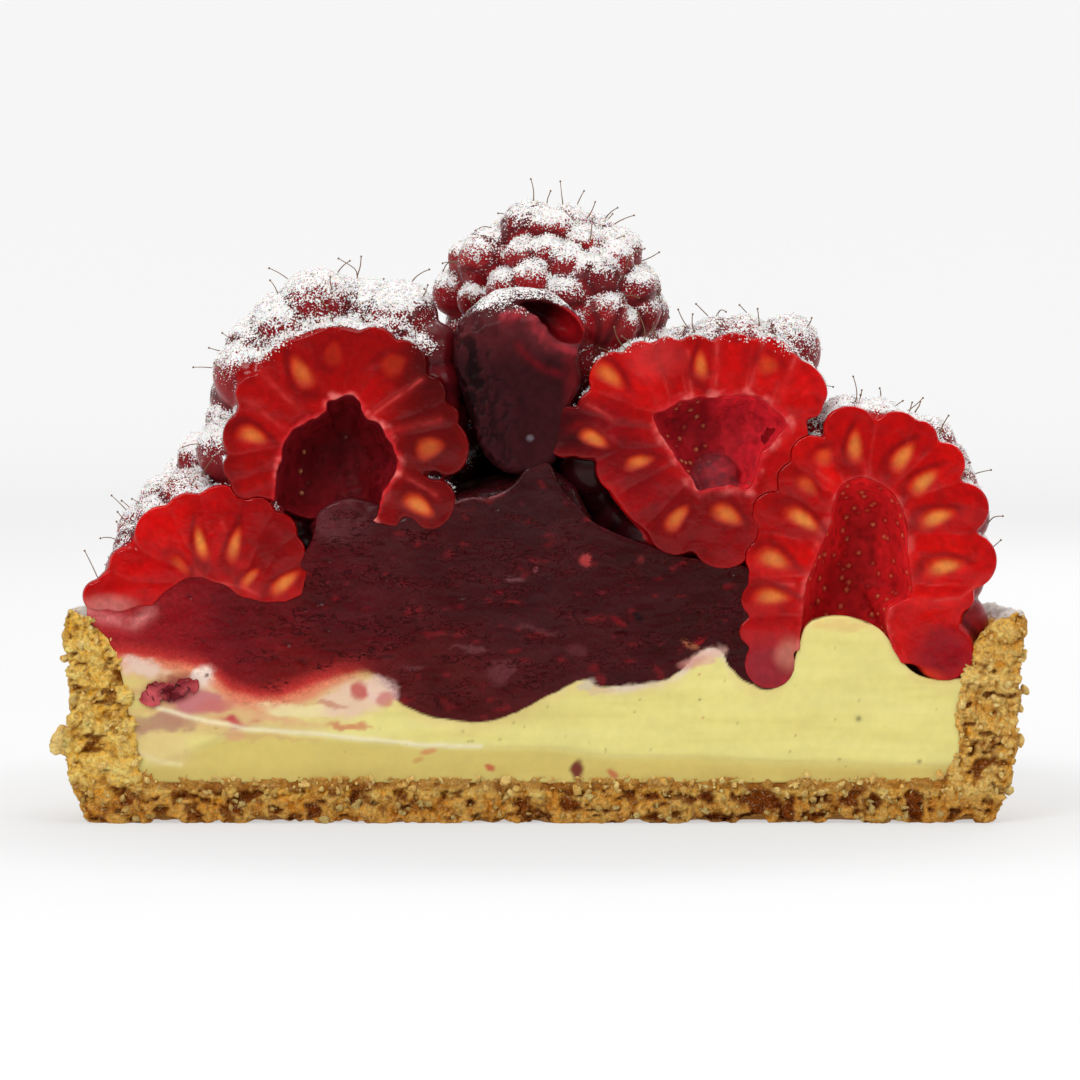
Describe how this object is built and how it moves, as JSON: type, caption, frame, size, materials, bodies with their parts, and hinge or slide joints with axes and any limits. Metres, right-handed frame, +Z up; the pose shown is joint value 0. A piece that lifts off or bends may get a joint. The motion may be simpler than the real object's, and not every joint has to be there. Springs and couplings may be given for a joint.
{
  "type": "raspberry tart half",
  "caption": "Half of a small round raspberry tart, cut from rim to rim: a crumbly crust with custard, cream, compote and a sugared heap of berries.",
  "frame": {"origin": "middle of the bounding box, on the surface the tart stands on", "axes": "+X to the right along the cut face, +Y from the cut face into the tart, +Z up"},
  "size_m": [0.0806, 0.0416, 0.051],
  "materials": {
    "crust": "coarse crumbly shortcrust, golden, with darker pits and browner foot",
    "custard": "smooth set custard, dull yellow, satin",
    "cream": "smooth pale yellow cream with vanilla specks, satin",
    "compote": "wet dark maroon raspberry compote with small tears and pips",
    "raspberry": "translucent red raspberry flesh with orange pips, wet where cut, outside dusted with icing sugar",
    "dark_berry": "dark wet berry with folded skin, dusted with icing sugar on top"
  },
  "bodies": {
    "root": {"crust": "crust", "custard": "custard", "cream": "cream", "compote": "compote", "dark_berry": "dark_berry", "berry_scrap": "raspberry", "raspberry_right": "raspberry", "raspberry_upper_left": "raspberry", "raspberry_upper_right": "raspberry", "raspberry_left": "raspberry", "raspberry_crown": "raspberry", "raspberry_back_left": "raspberry", "raspberry_back_right": "raspberry", "raspberry_rear_left": "raspberry", "raspberry_rear_right": "raspberry", "raspberry_inner_left": "raspberry", "raspberry_inner_right": "raspberry", "raspberry_rear_top": "raspberry"}
  },
  "joints": []
}
